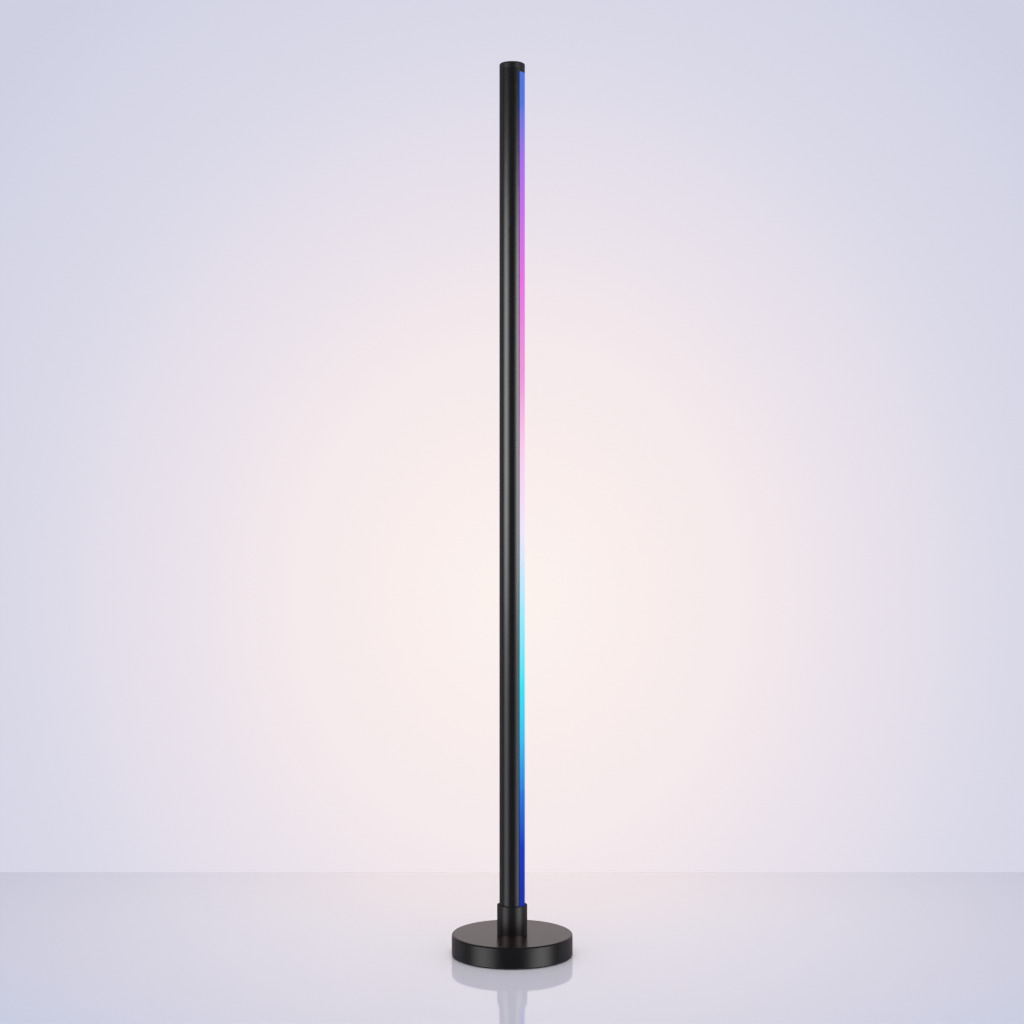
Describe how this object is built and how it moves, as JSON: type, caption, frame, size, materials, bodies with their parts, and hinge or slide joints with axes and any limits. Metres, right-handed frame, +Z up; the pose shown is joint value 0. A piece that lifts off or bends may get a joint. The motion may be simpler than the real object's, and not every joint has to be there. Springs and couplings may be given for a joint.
{
  "type": "corner floor lamp",
  "caption": "Slim round pole on a weighted disc base, with a milky light window down its side; the pole turns in its collar to aim the glow.",
  "frame": {"origin": "centre of the footprint, on the floor plane under the foot ring", "axes": "+Z up along the pole; +X towards the light window as stored; +Y towards the back, where the inlet and button are"},
  "size_m": [0.1424, 0.1424, 1.05],
  "materials": {
    "foot_foam": "matt closed-cell foam",
    "plate_black": "matt black coat on steel",
    "screw_black": "black oxide steel",
    "weight_iron": "rough cast, dark grey",
    "cover_black": "satin black powder coat on pressed steel",
    "bezel_black": "fine-textured black moulding",
    "collar_black": "satin black coat on turned metal",
    "zinc_steel": "bright zinc plate",
    "acetal_white": "smooth natural white",
    "ring_rubber": "smooth black rubber",
    "nylon_black": "matt black moulding",
    "contact_brass": "turned brass",
    "contact_gold": "gold-plated spring bronze",
    "lead_black": "soft black insulation",
    "board_green": "green solder mask on glass laminate",
    "nylon_white": "natural nylon",
    "header_white": "cream-white moulding",
    "chip_black": "dark moulded package",
    "inlet_black": "matt black moulding",
    "pin_nickel": "bright nickel plate",
    "switch_body": "dark moulding",
    "pole_black": "satin black anodised extrusion",
    "diffuser_milk": "milk-white, lit from behind",
    "strip_white": "white mask on a flexible circuit",
    "led_chip": "clear resin over pale phosphor",
    "cap_black": "satin black moulding",
    "button_black": "smooth black moulding",
    "switch_stem": "smooth white moulding"
  },
  "bodies": {
    "base": {"foot_ring": "foot_foam", "base_plate": "plate_black", "plate_screws": "screw_black", "base_weight": "weight_iron", "base_cover": "cover_black", "rear_bezel": "bezel_black", "collar": "collar_black", "grub_screw": "screw_black", "threaded_nipple": "zinc_steel", "lock_washer": "zinc_steel", "nipple_nut": "zinc_steel", "thrust_washer": "acetal_white", "friction_ring": "ring_rubber", "contact_holder": "nylon_black", "contact_pin": "contact_brass", "contact_bands": "contact_gold", "contact_lead": "lead_black", "control_board": "board_green", "board_spacers": "nylon_white", "board_screws": "zinc_steel", "board_header": "header_white", "board_components": "chip_black", "power_inlet": "inlet_black", "inlet_pin": "pin_nickel", "push_switch": "switch_body"},
    "pole": {"pole_tube": "pole_black", "diffuser": "diffuser_milk", "light_strip": "strip_white", "light_chips": "led_chip", "top_cap": "cap_black", "cap_screws": "screw_black", "bottom_plug": "nylon_black", "plug_screws": "zinc_steel", "contact_socket": "nylon_black", "strip_lead": "lead_black"},
    "button": {"push_button": "button_black", "switch_plunger": "switch_stem"}
  },
  "joints": [
    {"name": "pole_swivel", "type": "hinge", "parent": "base", "child": "pole", "pos_m": [0, 0, 0.045], "axis": [0, 0, 1], "continuous": true},
    {"name": "button_press", "type": "slide", "parent": "base", "child": "button", "axis": [0, -1, 0], "range_m": [0, 0.0008], "stiffness_N_per_m": 400, "springref_m": -0.001}
  ]
}
